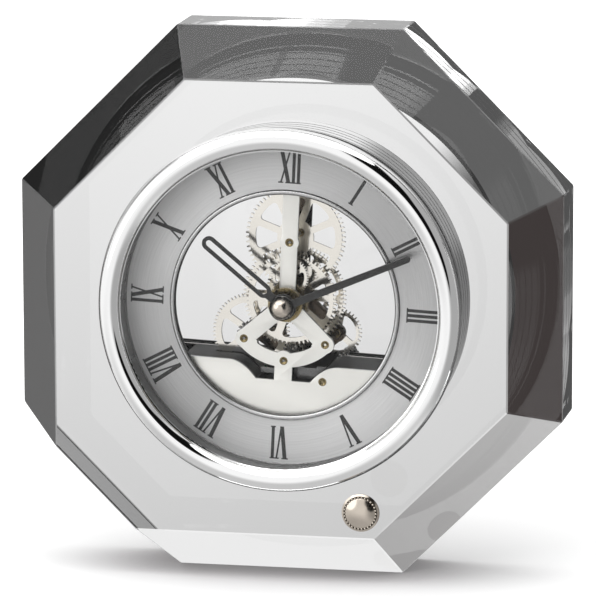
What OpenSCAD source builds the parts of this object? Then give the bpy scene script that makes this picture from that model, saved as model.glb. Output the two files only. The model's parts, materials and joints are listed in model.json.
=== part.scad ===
// Octagonal crystal desk clock with an open quartz movement.
// The dial faces -Y, +Z is up and the origin lies under the middle of the clock.
// Depths along the dial axis are called h. They are 0 at the rear edge of the front
// bevels and grow towards the viewer, so the crystal's front face is at h = bevel_depth.

/* [Crystal block] */
// Width across the flats of the octagon
block_w = 160; // [154:1:170]
// Depth of the front bevels along the dial axis
bevel_depth = 16.5; // [15.5:0.5:17]
// Inset of the front face along seven of its sides
bevel_inset = 13.6; // [11:0.2:16]
// Inset of the front face along the lower left side
narrow_inset = 2.8; // [2:0.2:6]
// Depth of the upright side walls behind the bevels
wall_depth = 18.5; // [18:0.5:22]
// Polished arris along the octagon's front edges
arris = 0.4; // [0.2:0.1:0.8]

/* [Case and bezel] */
// Radius of the bore through the crystal
bore_r = 51.8; // [51.6:0.1:52.2]
// Outer radius of the case tube
case_r = 48.4; // [48.2:0.1:48.6]
// Inner radius of the case tube
case_inner_r = 45.2; // [44.9:0.1:45.6]
// Outer radius of the bezel
bezel_r = 53.1; // [52.9:0.1:54]
// Inner radius of the bezel's lip
lip_r = 46.5; // [46:0.1:47]
// Height of the bezel above the crystal's front face
bezel_proud = 3.8; // [3:0.2:4.4]
// Turn of the whole insert in its bore, clockwise from the front
insert_turn = 2.6; // [0:0.1:5]

/* [Dial] */
// Radius of the opening in the middle of the dial
opening_r = 32.4; // [31.5:0.1:33]
// Height of the dial's face
dial_h = 8.5; // [8.3:0.1:8.7]
// Thickness of the dial
dial_t = 0.8; // [0.6:0.1:1]

/* [Plates] */
// Height of the front plate's face
front_plate_h = 6.5; // [6.3:0.1:6.7]
// Thickness of the front plates
plate_t = 1.2; // [1:0.1:1.3]
// Height of the rear plate's face
rear_plate_h = -11; // [-11.2:0.1:-10.8]
// Width of the upright bar in front
bar_w = 4.8; // [4:0.2:5.6]
// Width of the upright bar at the rear
rear_bar_w = 6.2; // [5.4:0.2:6.8]
// Width of the two slanting arms
arm_w = 5; // [4.4:0.2:5.4]
// Radius of the rounded ends that carry the bushes
boss_r = 2.6; // [2.4:0.1:2.8]
// Level of the plate's shoulders below the dial axis
shoulder_drop = 17.6; // [17.4:0.1:17.8]
// Level of the notches between the shoulders
notch_drop = 22.6; // [22.4:0.1:22.8]

/* [Gear train] */
// Distance from the dial axis up to the top wheel
top_reach = 17.9; // [17.5:0.1:18.2]
// Distance from the dial axis to the left and right wheels
side_reach = 16.35; // [16.1:0.05:16.5]
// Angle of the left and right wheels from straight down
side_angle = 47.2; // [46.5:0.1:48]
// Distance from the dial axis down to the relay wheel
foot_reach = 16.8; // [16.6:0.1:17]
// Distance from the dial axis up to the motion wheel
motion_reach = 7.2; // [7:0.1:7.4]
// Thickness of the spoked wheels
wheel_t = 0.8; // [0.6:0.1:1]
// Radius of the slim arbors
arbor_r = 0.6; // [0.5:0.05:0.65]
// Radius of the arbor that carries the minute hand
minute_arbor_r = 0.75; // [0.7:0.05:0.8]

/* [Hands] */
// Length of the minute hand from the dial axis
minute_len = 40.7; // [38:0.1:41]
// Length of the hour hand from the dial axis
hour_len = 30.2; // [28:0.1:31.5]
// Direction of the minute hand at rest, clockwise from twelve on the dial
minute_angle = 64.6; // [0:0.1:360]
// Direction of the hour hand at rest, clockwise from twelve on the dial
hour_angle = 307.2; // [0:0.1:360]

/* [Rear] */
// Radius of the rear cover
cover_r = 51.5; // [50.5:0.25:51.5]
// Radius of the rear window
window_r = 41; // [40:0.2:42]
// Radius of the setting knob
knob_r = 2.7; // [2.4:0.1:2.8]
// Thickness of the battery hatch
hatch_t = 1.8; // [1.6:0.1:2]

/* [Hidden] */
$fn = 96;
fit = 0.01;
run_gap = 0.05;

// Heights along the dial axis
face_h = bevel_depth;
back_h = -wall_depth;
bezel_h = face_h + bezel_proud;
lens_t = 1.3;
lens_h = bezel_h - 2.6;
skirt_t = 0.5;
seat_r = case_r - skirt_t - 0.05;
case_front_h = dial_h - dial_t;
flange_back_h = front_plate_h;
plate_back_h = front_plate_h - plate_t;
bridge_back_h = plate_back_h - plate_t;
rear_plate_back_h = rear_plate_h - plate_t;
cover_h = back_h;
cover_t = 1.8;
cover_back_h = cover_h - cover_t;
knob_back_h = cover_back_h - 3.1;
front_end_h = bezel_h;
mid_h = (front_end_h + knob_back_h) / 2;
axis_z = block_w / 2;

// Planes of the wheels
hour_plane_h = 3.7;
motion_plane_h = 2.5;
inner_plane_h = -0.8;
middle_plane_h = -3.6;
centre_plane_h = -6;
relay_plane_h = -8.3;
setting_plane_h = rear_plate_back_h - 0.7;
pinion_over = 0.5;

// Places of the axes, as seen from the front
top_axis = [0, top_reach];
left_axis = side_reach * [-sin(side_angle), -cos(side_angle)];
right_axis = [-left_axis[0], left_axis[1]];
foot_axis = [0, -foot_reach];
motion_axis = [0, motion_reach];

// Tooth counts, from the motor to the hands
rotor_z = 8;
relay_z = 36;
relay_pinion_z = 12;
left_z = 60;
left_pinion_z = 16;
inner_z = 64;
inner_pinion_z = 16;
top_z = 64;
top_pinion_z = 15;
centre_z = 75;
cannon_z = 14;
motion_z = 42;
motion_pinion_z = 12;
hour_z = 48;
setting_z = 51;
idler_z = 36;
knob_z = 12;

// Modules of the meshing pairs, set by the distances between their axes
motor_module = 0.19;
relay_module = 2 * norm(left_axis - foot_axis) / (left_z + relay_pinion_z);
left_module = 2 * side_reach / (inner_z + left_pinion_z);
top_module = 2 * top_reach / (top_z + inner_pinion_z);
centre_module = 2 * top_reach / (centre_z + top_pinion_z);
cannon_module = 2 * motion_reach / (cannon_z + motion_z);
hour_module = 2 * motion_reach / (hour_z + motion_pinion_z);
setting_module = 2 * side_reach / (setting_z + idler_z);

rotor_axis = foot_axis - [0, motor_module * (rotor_z + relay_z) / 2];
knob_reach = setting_module * (idler_z + knob_z) / 2;
knob_axis = right_axis + knob_reach * [cos(-75.3), sin(-75.3)];

// Turn of each wheel at rest about its own axis, counter-clockwise, for teeth in mesh
function axis_angle(a, b) = atan2(b[1] - a[1], b[0] - a[0]);
function meshed(a, phase_a, z_a, b, z_b) =
    axis_angle(a, b) + 180 + 180 / z_b + (axis_angle(a, b) - phase_a) * z_a / z_b;

centre_phase = 0;
top_phase = meshed([0, 0], centre_phase, centre_z, top_axis, top_pinion_z);
top_wheel_phase = 26.6;
inner_phase = meshed(top_axis, top_wheel_phase, top_z, [0, 0], inner_pinion_z);
inner_wheel_phase = 36;
left_phase = meshed([0, 0], inner_wheel_phase, inner_z, left_axis, left_pinion_z);
left_wheel_phase = 76.4;
relay_phase = meshed(left_axis, left_wheel_phase, left_z, foot_axis, relay_pinion_z);
rotor_phase = meshed(foot_axis, relay_phase, relay_z, rotor_axis, rotor_z);
cannon_phase = 0;
motion_phase = meshed([0, 0], cannon_phase, cannon_z, motion_axis, motion_z);
hour_phase = meshed(motion_axis, motion_phase, motion_pinion_z, [0, 0], hour_z);
setting_phase = 0;
idler_phase = meshed([0, 0], setting_phase, setting_z, right_axis, idler_z);
knob_phase = meshed(right_axis, idler_phase, idler_z, knob_axis, knob_z);

// Battery bay, under the movement
battery_r = 5.25;
battery_len = 43.5;
battery_nub = 1;
bay_drop = 31.2;
bay_h = -12.8;
bay_top = 25;
bay_len = 46.4;
module_r = 44.8;
module_w = 59.2;
module_wall = 1.2;
well_w = 15.2;

// Motor, under the notches of the front plate
coil_y = -21.7;
coil_h = -2.6;
stator_h = 1.7;
stator_t = 0.8;
rotor_r = 2;

// Hands
hand_h = 13;
hand_t = 0.6;
hour_hand_h = 11.6;
nut_r = 3.6;
nut_rise = 2.6;

// Stud on the crystal's front face
medallion_at = [23.8, -58.6];
medallion_r = 5.55;
medallion_rise = 2.1;

// Outline of the plates
stem_w = 5.2;
band_in = 14.6;
band_out = 18.7;
hub_plate_r = 4.8;
foot_w = 14;
foot_y = 35.2;
plate_reach = 41;

// Pillar, screws and their places
screw_r = 0.7;
screw_gap = 0.1;
slot_w = 0.3;
plate_screw_at = [32.2, -21.6];
bridge_screw_at = [4.6, 38];
module_screw_at = [11.7, -22.1];
pillar_axis = [0, 37.2];
pillar_r = 1.8;
cover_screw_reach = 46.9;
cover_screw_angles = [45, 135, 225, 315];

// Pivots, pipes and bushes
pivot_r = 0.35;
pivot_len = 1.3;
rotor_pivot_r = 0.25;
rotor_arbor_r = 0.45;
motion_post_r = 0.6;
cannon_r = 1.36;
hour_pipe_r = 2;
bush_r = 1.2;
oil_sink_r = 0.92;
oil_sink_t = 0.35;
centre_bush_r = 2.6;
centre_flange_r = 5;

// Openings of the rear cover
hatch_w = 48;
hatch_top = 25.6;
hatch_bottom = 36.8;
window_floor = 18.2;
ledge = 1.5;
floor_ledge = 0.4;

// Colours
silver = [0.86, 0.85, 0.81];
champagne = [0.87, 0.84, 0.76];
steel = [0.62, 0.63, 0.65];
dark = [0.2, 0.2, 0.21];
chrome = [0.9, 0.9, 0.92];
brass = [0.78, 0.64, 0.36];

// Frames: X right, Y up and Z towards the viewer, on the dial axis
module dial_frame() {
    translate([0, mid_h, axis_z]) rotate([90, 0, 0]) children();
}

module insert_frame() {
    dial_frame() rotate([0, 0, -insert_turn]) children();
}

module at(axis) {
    insert_frame() translate(axis) children();
}

// A flat shape with its front face at height h
module slab(h, t) {
    translate([0, 0, h - t]) linear_extrude(t) children();
}

// A round rod between two heights
module rod(h_front, h_back, r) {
    translate([0, 0, h_back]) cylinder(h = h_front - h_back, r = r);
}

// A ring between two heights
module tube(h_front, h_back, r_out, r_in) {
    slab(h_front, h_front - h_back) difference() {
        circle(r_out);
        circle(r_in);
    }
}

function polar(r, a) = [r * cos(a), r * sin(a)];

function arc_points(r, a0, a1, n) = [for (i = [0:n]) polar(r, a0 + (a1 - a0) * i / n)];

// The corner at b between a and c, rounded to radius r
function rounded(a, b, c, r, n = 5) =
    let (
        u = (a - b) / norm(a - b),
        v = (c - b) / norm(c - b),
        half = acos(u * v) / 2,
        centre = b + (u + v) / norm(u + v) * r / sin(half),
        start = b + u * r / tan(half) - centre,
        end = b + v * r / tan(half) - centre,
        a0 = atan2(start[1], start[0]),
        sweep = atan2(end[1], end[0]) - a0,
        turn = sweep > 180 ? sweep - 360 : sweep < -180 ? sweep + 360 : sweep
    )
    [for (i = [0:n]) centre + polar(r, a0 + turn * i / n)];

// One tooth as half widths, in shares of the pitch, against radii
function tooth(m, z, add, ded, f) =
    let (r = m * z / 2)
    [[f, r - ded * m], [f, r], [0.74 * f, r + 0.55 * add * m], [0.3 * f, r + add * m]];

function tooth_points(m, z, add, ded, f) =
    let (t = tooth(m, z, add, ded, f), last = len(t) - 1)
    [
        for (i = [0:z - 1]) each concat(
            [for (p = t) polar(p[1], (i - p[0]) * 360 / z)],
            [for (k = [0:last]) polar(t[last - k][1], (i + t[last - k][0]) * 360 / z)]
        )
    ];

module wheel_teeth(m, z) {
    polygon(tooth_points(m, z, 1, 1.25, 0.205));
}

module pinion_teeth(m, z) {
    polygon(tooth_points(m, z, 0.8, 1.35, 0.18));
}

// A pinion that stands a little past both faces of the wheel it meets, at height h
module pinion(h, m, z, phase) {
    slab(h + pinion_over, wheel_t + 2 * pinion_over) rotate(phase) pinion_teeth(m, z);
}

// Openings between the spokes, with rounded corners towards the rim
module windows(r_in, r_out, spokes, spoke_w, corner) {
    half_out = 180 / spokes - asin(spoke_w / 2 / r_out);
    half_in = 180 / spokes - asin(spoke_w / 2 / r_in);
    inset = corner / r_out * 75;
    rim = arc_points(r_out, -half_out + inset, half_out - inset, 6);
    hub = arc_points(r_in, half_in, -half_in, 4);
    low = polar(r_out, -half_out);
    high = polar(r_out, half_out);
    outline = concat(
        rounded(hub[4], low, rim[0], corner),
        rim,
        rounded(rim[6], high, hub[0], corner),
        hub
    );
    for (i = [0:spokes - 1]) rotate(i * 360 / spokes + 180 / spokes) polygon(outline);
}

// A spoked wheel with its front face at height h; spokes start at the wheel's phase
module spoked_wheel(h, m, z, phase, rim_r, hub_r, spokes, spoke_w, corner, bore) {
    slab(h, wheel_t) rotate(phase) difference() {
        wheel_teeth(m, z);
        windows(hub_r, rim_r, spokes, spoke_w, corner);
        circle(bore);
    }
}

// Crystal block
function side_inset(i) = i == 5 ? narrow_inset : bevel_inset;

module octagon(w) {
    rotate(22.5) circle(r = w / 2 / cos(22.5), $fn = 8);
}

module bevel_cut(i) {
    slope = atan(side_inset(i) / bevel_depth);
    rotate(i * 45) translate([block_w / 2, 0, 0]) rotate([0, -slope, 0])
        translate([0, -block_w / 2, -block_w / 4]) cube([block_w, block_w, block_w]);
}

module arris_cut(i) {
    slope = atan(side_inset(i) / bevel_depth);
    rotate(i * 45) translate([block_w / 2 - side_inset(i), 0, bevel_depth])
        rotate([0, -slope - (90 - slope) / 2, 0])
        translate([-arris / 4, -block_w / 2, -block_w / 4]) cube([block_w, block_w, block_w]);
}

module crystal_block() {
    color([0.9, 0.94, 0.96, 0.4]) dial_frame() difference() {
        translate([0, 0, back_h]) linear_extrude(wall_depth + bevel_depth) octagon(block_w);
        for (i = [0:7]) bevel_cut(i);
        for (i = [0:7]) arris_cut(i);
        translate([0, 0, back_h - 1]) cylinder(h = wall_depth + bevel_depth + 2, r = bore_r);
    }
}

// Small domed stud on the front face
module medallion() {
    ball_r = (medallion_r * medallion_r + medallion_rise * medallion_rise)
        / (2 * medallion_rise);
    color(silver) dial_frame() translate([medallion_at[0], medallion_at[1], face_h])
        rotate_extrude() intersection() {
            translate([0, medallion_rise - ball_r]) circle(ball_r);
            square([medallion_r + 1, medallion_rise + 1]);
        }
}

// Bezel: a half-round ring with a skirt into the case
module bezel() {
    crown_r = (bezel_r - lip_r) / 2;
    crown_mid = (bezel_r + lip_r) / 2;
    side_h = 1.1;
    color(chrome) insert_frame() rotate_extrude($fn = 180) {
        difference() {
            union() {
                translate([crown_mid, bezel_h - crown_r]) circle(crown_r);
                translate([bezel_r - 2, face_h]) square([2, side_h]);
                translate([lip_r + 0.9, face_h]) square([bezel_r - lip_r - 1.9, 2]);
                translate([lip_r, lens_h]) square([2, 0.6]);
            }
            translate([lip_r - 1, face_h - 10]) square([crown_r * 3, 10]);
            translate([lip_r - 1, face_h - 1])
                square([case_r - skirt_t - lip_r + 1, lens_h - face_h + 1]);
        }
        translate([case_r - skirt_t, case_front_h])
            square([skirt_t, lens_h - case_front_h + 0.2]);
    }
}

module front_lens() {
    color([0.85, 0.9, 0.95, 0.3]) insert_frame()
        rod(lens_h, lens_h - lens_t, seat_r);
}

// Polished wall between the lens and the dial, with a small step at its foot
module inner_ring() {
    wall_r = lip_r + 0.8;
    foot_t = 0.5;
    color(chrome) insert_frame() union() {
        tube(lens_h - lens_t, dial_h, seat_r, wall_r);
        tube(dial_h + foot_t, dial_h, wall_r + 0.2, lip_r + 0.2);
    }
}

module dial() {
    color([0.78, 0.78, 0.78]) insert_frame()
        tube(dial_h, case_front_h, seat_r, opening_r + 1);
}

// Raised polished ring that lines the opening
module dial_rim() {
    bead_r = 0.75;
    color(chrome) insert_frame() rotate_extrude($fn = 180) union() {
        translate([opening_r, flange_back_h + 0.4])
            square([1, dial_h - flange_back_h - 0.4]);
        intersection() {
            translate([opening_r + bead_r, dial_h]) circle(bead_r);
            translate([opening_r, dial_h]) square([2 * bead_r, bead_r]);
        }
    }
}

// Case: the tube, and the flange that the dial and the front plates seat on
module case_ring() {
    color(dark) insert_frame() {
        difference() {
            union() {
                tube(case_front_h, back_h, case_r, case_inner_r);
                tube(case_front_h, flange_back_h, case_inner_r + 0.5, opening_r + 1);
                intersection() {
                    slab(flange_back_h + 0.1, plate_t + 0.1)
                        translate([-foot_w / 2 - 1, foot_y]) square([foot_w + 2, 20]);
                    rod(case_front_h, back_h, case_inner_r + 0.5);
                }
            }
            for (side = [-1, 1]) {
                translate([side * plate_screw_at[0], plate_screw_at[1], 0])
                    rod(flange_back_h + 1, flange_back_h - 1, screw_r);
                translate([side * bridge_screw_at[0], bridge_screw_at[1], 0])
                    rod(plate_back_h + 2, plate_back_h - 1, screw_r);
            }
            for (a = cover_screw_angles) translate(polar(cover_screw_reach, a))
                rod(back_h + 4, back_h - 1, screw_r);
        }
    }
}

// Rubber sleeve whose fins hold the insert in the bore
module tension_band() {
    rib_t = 1.2;
    color([0.12, 0.12, 0.12]) insert_frame() union() {
        tube(face_h - 3, back_h + 2, case_r + 0.3, case_r);
        for (h = [face_h - 3:-5:back_h + 4]) tube(h, h - rib_t, bore_r - fit, case_r + 0.2);
    }
}

// Plates
// Shoulder curve from the notch up to the level part, for the right side
function shoulder_points(n = 8) = [
    for (i = [0:n])
        let (x = 8 + 8 * i / n, s = pow((16 - x) / 8, 2))
        [x, -shoulder_drop - (notch_drop - shoulder_drop) * s]
];

module shoulders(r, floor_y) {
    right = shoulder_points();
    left = [for (i = [len(right) - 1:-1:0]) [-right[i][0], right[i][1]]];
    intersection() {
        circle(r);
        polygon(concat(
            [[-r, floor_y], [-r, -shoulder_drop]], left, right,
            [[r, -shoulder_drop], [r, floor_y]]
        ));
    }
}

// The opening between the arms, with rounded corners
module fan_window() {
    a_right = -90 + side_angle - 11.4;
    a_left = -90 - side_angle + 11.4;
    low = arc_points(band_in, a_left + 4, a_right - 4, 14);
    corner_l = polar(band_in, a_left);
    corner_r = polar(band_in, a_right);
    apex = [0, -3.6];
    polygon(concat(
        rounded(apex, corner_l, low[0], 0.8),
        low,
        rounded(low[14], corner_r, apex, 0.8),
        [apex]
    ));
}

// Two arms, the band that joins them, and the stem down to the shoulders
module fan() {
    difference() {
        union() {
            circle(hub_plate_r);
            for (p = [left_axis, right_axis]) {
                rotate(axis_angle([0, 0], p)) translate([0, -arm_w / 2])
                    square([side_reach, arm_w]);
                translate(p) circle(boss_r);
            }
            intersection() {
                difference() {
                    circle(band_out);
                    circle(band_in - 0.6);
                }
                polygon([[0, 0], 2 * left_axis, [0, -40], 2 * right_axis]);
            }
            translate(foot_axis) circle(boss_r + 0.35);
            translate([-stem_w / 2, -notch_drop - 1])
                square([stem_w, notch_drop + 1 - band_in]);
        }
        difference() {
            fan_window();
            translate(foot_axis) circle(boss_r + 0.35);
        }
    }
}

module bar(w, top_y) {
    translate([-w / 2, 0]) square([w, top_y]);
    circle(w / 2);
    translate(top_axis) circle(w / 2 + 0.35);
}

module front_plate() {
    color(silver) insert_frame() difference() {
        slab(front_plate_h, plate_t) difference() {
            union() {
                fan();
                shoulders(plate_reach, -block_w);
            }
            circle(centre_bush_r);
            for (p = [left_axis, right_axis, foot_axis, module_screw_at]) translate(p)
                circle(bush_r);
            for (side = [-1, 1]) translate([side * plate_screw_at[0], plate_screw_at[1]])
                circle(screw_r + screw_gap);
        }
        translate(rotor_axis) rod(plate_back_h + 0.8, plate_back_h - 1, rotor_pivot_r + run_gap);
    }
}

module upper_bridge() {
    color(silver) insert_frame() difference() {
        slab(plate_back_h, plate_t) difference() {
            union() {
                bar(bar_w, plate_reach);
                translate([-foot_w / 2, foot_y]) square([foot_w, plate_reach - foot_y]);
            }
            circle(centre_bush_r);
            translate(top_axis) circle(bush_r);
            for (side = [-1, 1]) translate([side * bridge_screw_at[0], bridge_screw_at[1]])
                circle(screw_r + screw_gap);
        }
        translate(motion_axis) rod(bridge_back_h + 0.8, bridge_back_h - 1, motion_post_r);
    }
}

module rear_plate() {
    color(dark) insert_frame() slab(rear_plate_h, plate_t) difference() {
        union() {
            fan();
            bar(rear_bar_w, plate_reach);
            shoulders(plate_reach, -bay_top);
            translate([-stem_w / 2, -bay_top]) square([stem_w, bay_top - band_in]);
        }
        for (p = [[0, 0], top_axis, left_axis, right_axis, foot_axis, rotor_axis, knob_axis])
            translate(p) circle(bush_r);
        translate(pillar_axis) circle(screw_r);
    }
}

module top_pillar() {
    color(steel) at(pillar_axis) difference() {
        rod(bridge_back_h, rear_plate_h, pillar_r);
        rod(rear_plate_h + 3, rear_plate_h - 1, screw_r);
    }
}

// Bushes
// Cone at the mouth of a bush that holds its oil
module oil_sink(h, bore) {
    translate([0, 0, h - oil_sink_t])
        cylinder(h = oil_sink_t + fit, r1 = bore, r2 = oil_sink_r);
}

module bush(h, t, bore) {
    difference() {
        rod(h, h - t, bush_r);
        rod(h + 1, h - t - 1, bore);
        oil_sink(h, bore);
    }
}

module centre_bush() {
    color(brass) insert_frame() difference() {
        union() {
            rod(front_plate_h, bridge_back_h, centre_bush_r);
            rod(front_plate_h + 1.4, front_plate_h, centre_flange_r);
        }
        rod(20, 0, hour_pipe_r + run_gap);
    }
}

// The last one is the stud that fixes the module to the plate
module front_bushes() {
    proud = 0.1;
    stud_h = front_plate_h + proud;
    color(brass) {
        at(top_axis) bush(plate_back_h + proud, plate_t + proud, pivot_r + run_gap);
        for (p = [left_axis, right_axis, foot_axis])
            at(p) bush(stud_h, plate_t + proud, pivot_r + run_gap);
        at(module_screw_at) difference() {
            rod(stud_h, plate_back_h - 2, bush_r);
            oil_sink(stud_h, pivot_r);
            translate([-slot_w / 2, -oil_sink_r, stud_h - 0.5])
                cube([slot_w, 2 * oil_sink_r, 1]);
        }
    }
}

module rear_bushes() {
    color(brass) {
        insert_frame() bush(rear_plate_h, plate_t, minute_arbor_r + run_gap);
        for (p = [top_axis, left_axis, foot_axis])
            at(p) bush(rear_plate_h, plate_t, pivot_r + run_gap);
        at(rotor_axis) bush(rear_plate_h, plate_t, rotor_pivot_r + run_gap);
        for (p = [right_axis, knob_axis])
            at(p) bush(rear_plate_h, plate_t, arbor_r + run_gap);
    }
}

module screw(h, len, r, head_r) {
    difference() {
        union() {
            rod(h, h - 0.9, head_r);
            rod(h - 0.9, h - 0.9 - len, r);
        }
        translate([-head_r, -slot_w / 2, h - 0.4]) cube([2 * head_r, slot_w, 1]);
    }
}

// Screws from behind, so their heads face away from the viewer
module rear_screw(axis, h_seat, len, head_r = 1.4) {
    at(axis) translate([0, 0, h_seat]) rotate([0, 180, 0])
        screw(0.9, len, screw_r - fit, head_r);
}

module plate_screws() {
    color(steel) for (side = [-1, 1])
        rear_screw([side * plate_screw_at[0], plate_screw_at[1]], plate_back_h, plate_t + 0.8);
}

module bridge_screws() {
    color(steel) {
        for (side = [-1, 1]) rear_screw(
            [side * bridge_screw_at[0], bridge_screw_at[1]], bridge_back_h, plate_t + 0.8, 1.2
        );
        rear_screw(pillar_axis, rear_plate_back_h, plate_t + 2);
    }
}

module motion_post() {
    color(steel) at(motion_axis) union() {
        rod(bridge_back_h + 0.8, bridge_back_h - 2.9, motion_post_r);
        rod(bridge_back_h - 2.9, bridge_back_h - 3.2, motion_post_r + 0.5);
    }
}

// Movement module under the shoulders: motor, circuit and battery
module module_case() {
    room = bay_top - shoulder_drop - module_wall - 0.4;
    color(dark) insert_frame() difference() {
        union() {
            slab(plate_back_h, plate_back_h - rear_plate_h) intersection() {
                shoulders(module_r, -block_w);
                square([module_w, block_w], center = true);
            }
            slab(rear_plate_h + 0.1, rear_plate_h - cover_h) intersection() {
                circle(module_r);
                translate([-module_w / 2, -50]) square([module_w, 50 - bay_top]);
            }
        }
        translate([-well_w / 2, -bay_top + 0.2, rear_plate_h - 1])
            cube([well_w, 10, plate_back_h - rear_plate_h + 2]);
        translate([7, -bay_top + 0.4, rear_plate_h - 1])
            cube([22, room, plate_back_h - rear_plate_h - 0.6]);
        translate([-29, -bay_top + 0.4, rear_plate_h - 1])
            cube([22, room, 6]);
        translate(left_axis) rod(middle_plane_h + 0.6, middle_plane_h - wheel_t - 0.6, 12.1);
        translate([-bay_len / 2, -bay_drop, bay_h]) rotate([0, 90, 0])
            cylinder(h = bay_len, r = battery_r + 0.15);
        translate([-bay_len / 2, -bay_drop - battery_r - 0.15, cover_h - 1])
            cube([bay_len, 2 * battery_r + 0.3, bay_h - cover_h + 1]);
        translate(module_screw_at) rod(plate_back_h + 1, plate_back_h - 2, bush_r);
    }
}

// Motor: coil on its core, and the stator plates round the rotor
module stator() {
    color(steel) insert_frame() slab(stator_h, stator_t) difference() {
        union() {
            translate(rotor_axis) circle(rotor_r + 1.3);
            translate([0, rotor_axis[1] - 1.6]) square([12.5, 3.2]);
            translate([-7.6, rotor_axis[1] - 0.7]) square([7, 1.4]);
            translate([9, -bay_top + 0.8]) square([3.5, 5.4]);
        }
        translate(rotor_axis) circle(rotor_r + 0.3);
        translate([rotor_axis[0] - 0.2, rotor_axis[1] + rotor_r]) square([0.4, 2]);
        translate([11, coil_y]) circle(screw_r);
    }
}

module coil_core() {
    color(steel) insert_frame() difference() {
        union() {
            translate([9.4, coil_y - 1, coil_h - 0.6]) cube([18.6, 2, 1.2]);
            translate([9.4, coil_y - 1.6, coil_h - 0.6])
                cube([2.6, 3.2, stator_h - stator_t - coil_h + 0.6]);
        }
        translate([11, coil_y, coil_h - 1]) cylinder(h = 10, r = screw_r);
    }
}

module coil() {
    color([0.72, 0.4, 0.2]) insert_frame() difference() {
        union() {
            translate([13, coil_y, coil_h]) rotate([0, 90, 0]) cylinder(h = 12.6, r = 2.5);
            for (x = [12.4, 25.6]) translate([x, coil_y, coil_h]) rotate([0, 90, 0])
                cylinder(h = 0.6, r = 2.8);
        }
        translate([9, coil_y - 1.02, coil_h - 0.62]) cube([20, 2.04, 1.24]);
    }
}

module circuit_board() {
    color([0.1, 0.35, 0.2]) insert_frame() slab(rear_plate_h + 1.9, 0.9) difference() {
        translate([-28.4, -bay_top + 0.8]) square([20.4, 5.4]);
        translate([-27, -bay_top + 1.8]) circle(0.5);
    }
}

module quartz_can() {
    color(steel) insert_frame() translate([-16, -bay_top + 3.4, rear_plate_h + 2.9])
        rotate([0, -90, 0]) union() {
            cylinder(h = 6, r = 1);
            translate([0, 0, -0.4]) cylinder(h = 0.4, r = 0.8);
        }
}

// Battery and its contacts
module battery() {
    color([0.75, 0.75, 0.7]) insert_frame()
        translate([-battery_len / 2 - battery_nub / 2, -bay_drop, bay_h])
        rotate([0, 90, 0]) union() {
            cylinder(h = battery_len, r = battery_r);
            cylinder(h = battery_len + battery_nub, r = 1.9);
        }
}

module contact_plus() {
    color(steel) insert_frame() translate([bay_len / 2 - 0.5, -bay_drop, bay_h]) union() {
        translate([0.1, -3, -3.6]) cube([0.4, 6, 7.2]);
        translate([-0.45, -1.2, -1.2]) cube([0.6, 2.4, 2.4]);
    }
}

module contact_minus() {
    color(steel) insert_frame() translate([-bay_len / 2, -bay_drop, bay_h]) union() {
        translate([0, -3, -3.6]) cube([0.4, 6, 7.2]);
        rotate([0, 90, 0]) cylinder(h = 0.95, r1 = 2.4, r2 = 1.2);
    }
}

// Rear cover with its window, the hatch and the screws
module window_shape(r, floor_y) {
    intersection() {
        circle(r);
        translate([-60, -floor_y]) square([120, 120]);
    }
}

module rear_cover() {
    color([0.16, 0.16, 0.17]) insert_frame() difference() {
        union() {
            rod(cover_h, cover_back_h, cover_r);
            tube(cover_back_h, cover_back_h - 0.5, cover_r - 1, cover_r - 2.2);
        }
        slab(cover_h + 1, cover_t + 3) window_shape(window_r, window_floor);
        slab(cover_h + 1, 2) window_shape(window_r + ledge, window_floor + floor_ledge);
        slab(cover_h + 1, cover_t + 3)
            translate([-hatch_w / 2, -hatch_bottom]) square([hatch_w, hatch_bottom - hatch_top]);
        translate(knob_axis) rod(cover_h + 1, cover_back_h - 1, arbor_r + 0.15);
        for (a = cover_screw_angles) translate(polar(cover_screw_reach, a))
            rod(cover_h + 1, cover_back_h - 1, screw_r + screw_gap);
    }
}

module rear_lens() {
    color([0.85, 0.9, 0.95, 0.3]) insert_frame()
        slab(cover_h, 1)
            window_shape(window_r + ledge - 0.05, window_floor + floor_ledge - 0.05);
}

module cover_screws() {
    color(steel) for (a = cover_screw_angles)
        rear_screw(polar(cover_screw_reach, a), cover_back_h, cover_t + 2.5, 1.3);
}

module battery_hatch() {
    gap = 0.2;
    color([0.2, 0.2, 0.21]) insert_frame() difference() {
        union() {
            slab(cover_h, hatch_t) translate([-hatch_w / 2 + gap, -hatch_bottom + gap])
                square([hatch_w - 2 * gap, hatch_bottom - hatch_top - 2 * gap]);
            for (x = [-3:1.5:3]) slab(cover_h - hatch_t, 0.4)
                translate([x - 0.3, -hatch_bottom + 2]) square([0.6, 7]);
        }
        slab(cover_h - hatch_t + 0.4, 1) translate([-9, -hatch_bottom + 1.6]) square([3, 8]);
    }
}

// Motor rotor and the train
module rotor() {
    color(dark) at(rotor_axis)
        tube(stator_h + 0.4, stator_h - stator_t - 0.6, rotor_r, rotor_arbor_r);
}

module rotor_pinion() {
    color(steel) at(rotor_axis) union() {
        rod(plate_back_h + 0.7, rear_plate_back_h, rotor_pivot_r);
        rod(plate_back_h - 0.2, rear_plate_h + 0.2, rotor_arbor_r);
        slab(relay_plane_h + 0.3, 1.4) rotate(rotor_phase) pinion_teeth(motor_module, rotor_z);
    }
}

module relay_wheel() {
    color(champagne) at(foot_axis) slab(relay_plane_h, wheel_t) rotate(relay_phase)
        difference() {
            wheel_teeth(motor_module, relay_z);
            for (i = [0:4]) rotate(i * 72) translate([2, 0]) circle(0.6);
            circle(arbor_r);
        }
}

// An arbor with a pivot at each end; the front one ends inside its oil sink
module train_arbor(h_top, h_bottom) {
    rod(h_top - 0.25, h_top - pivot_len, pivot_r);
    rod(h_top - pivot_len, h_bottom + pivot_len + 0.1, arbor_r);
    rod(h_bottom + pivot_len + 0.1, h_bottom, pivot_r);
}

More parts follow.
